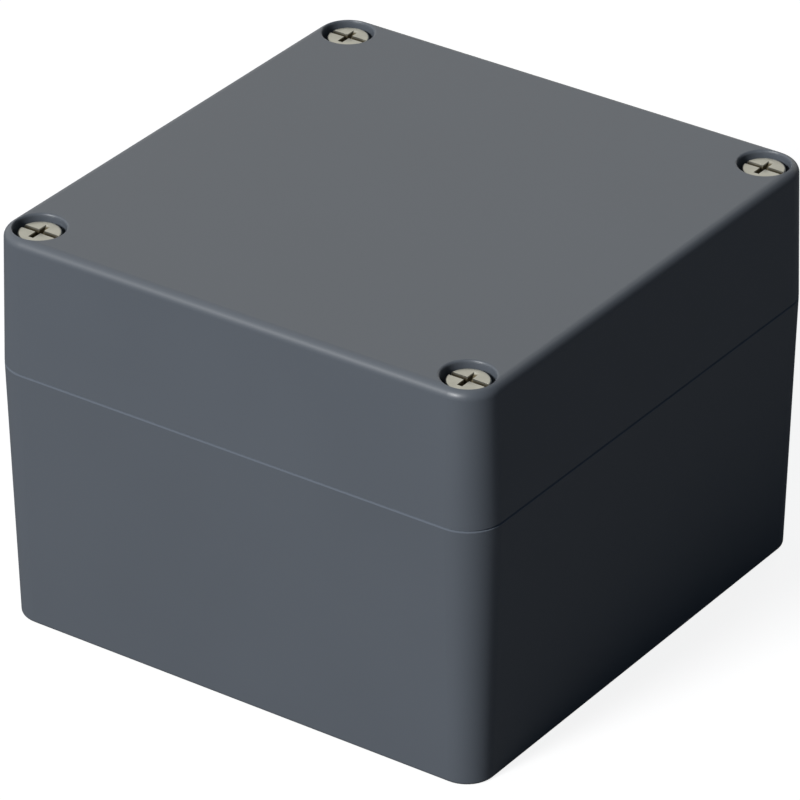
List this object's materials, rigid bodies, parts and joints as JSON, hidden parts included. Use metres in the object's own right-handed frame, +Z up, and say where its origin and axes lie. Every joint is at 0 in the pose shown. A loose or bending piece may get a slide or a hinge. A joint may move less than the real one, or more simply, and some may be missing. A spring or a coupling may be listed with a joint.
{
  "type": "die cast aluminium enclosure",
  "caption": "Grey coated die cast aluminium box with a deep lid, recessed captive corner screws, a seal at the joint and mounting holes under the lid.",
  "frame": {"origin": "centre of the base's underside", "axes": "+Z up through the lid, +X along the side 120 mm long, +Y along the side 122 mm wide"},
  "size_m": [0.12, 0.122, 0.09],
  "materials": {
    "casting": "satin grey powder coat over die cast aluminium",
    "seal": "matte moulded rubber",
    "screw_steel": "satin stainless steel",
    "nylon": "natural nylon",
    "plated_steel": "yellow passivated zinc plate"
  },
  "bodies": {
    "base": {"base": "casting", "base_earth_screw": "plated_steel", "base_earth_lock_washer": "plated_steel", "base_earth_washer": "plated_steel"},
    "lid": {"lid": "casting", "gasket": "seal", "lid_earth_screw": "plated_steel", "lid_earth_lock_washer": "plated_steel", "lid_earth_washer": "plated_steel"},
    "retaining_washer_1": {"retaining_washer_1": "nylon"},
    "lid_screw_1": {"lid_screw_1": "screw_steel"},
    "retaining_washer_2": {"retaining_washer_2": "nylon"},
    "lid_screw_2": {"lid_screw_2": "screw_steel"},
    "retaining_washer_3": {"retaining_washer_3": "nylon"},
    "lid_screw_3": {"lid_screw_3": "screw_steel"},
    "retaining_washer_4": {"retaining_washer_4": "nylon"},
    "lid_screw_4": {"lid_screw_4": "screw_steel"}
  },
  "joints": [
    {"name": "lid_lift", "type": "slide", "parent": "base", "child": "lid", "axis": [0, 0, 1], "range_m": [0, 0.1]},
    {"name": "screw_1_rise", "type": "slide", "parent": "lid", "child": "retaining_washer_1", "axis": [0, 0, 1], "range_m": [0, 0.008]},
    {"name": "screw_1_turn", "type": "hinge", "parent": "retaining_washer_1", "child": "lid_screw_1", "pos_m": [-0.052, -0.053, 0.0595], "axis": [0, 0, 1], "range_deg": [0, 3600]},
    {"name": "screw_2_rise", "type": "slide", "parent": "lid", "child": "retaining_washer_2", "axis": [0, 0, 1], "range_m": [0, 0.008]},
    {"name": "screw_2_turn", "type": "hinge", "parent": "retaining_washer_2", "child": "lid_screw_2", "pos_m": [0.052, -0.053, 0.0595], "axis": [0, 0, 1], "range_deg": [0, 3600]},
    {"name": "screw_3_rise", "type": "slide", "parent": "lid", "child": "retaining_washer_3", "axis": [0, 0, 1], "range_m": [0, 0.008]},
    {"name": "screw_3_turn", "type": "hinge", "parent": "retaining_washer_3", "child": "lid_screw_3", "pos_m": [0.052, 0.053, 0.0595], "axis": [0, 0, 1], "range_deg": [0, 3600]},
    {"name": "screw_4_rise", "type": "slide", "parent": "lid", "child": "retaining_washer_4", "axis": [0, 0, 1], "range_m": [0, 0.008]},
    {"name": "screw_4_turn", "type": "hinge", "parent": "retaining_washer_4", "child": "lid_screw_4", "pos_m": [-0.052, 0.053, 0.0595], "axis": [0, 0, 1], "range_deg": [0, 3600]}
  ],
  "couplings": [
    {"joint": "screw_1_turn", "follows": "screw_1_rise", "rad_per_m": 7854},
    {"joint": "screw_2_turn", "follows": "screw_2_rise", "rad_per_m": 7854},
    {"joint": "screw_3_turn", "follows": "screw_3_rise", "rad_per_m": 7854},
    {"joint": "screw_4_turn", "follows": "screw_4_rise", "rad_per_m": 7854}
  ]
}
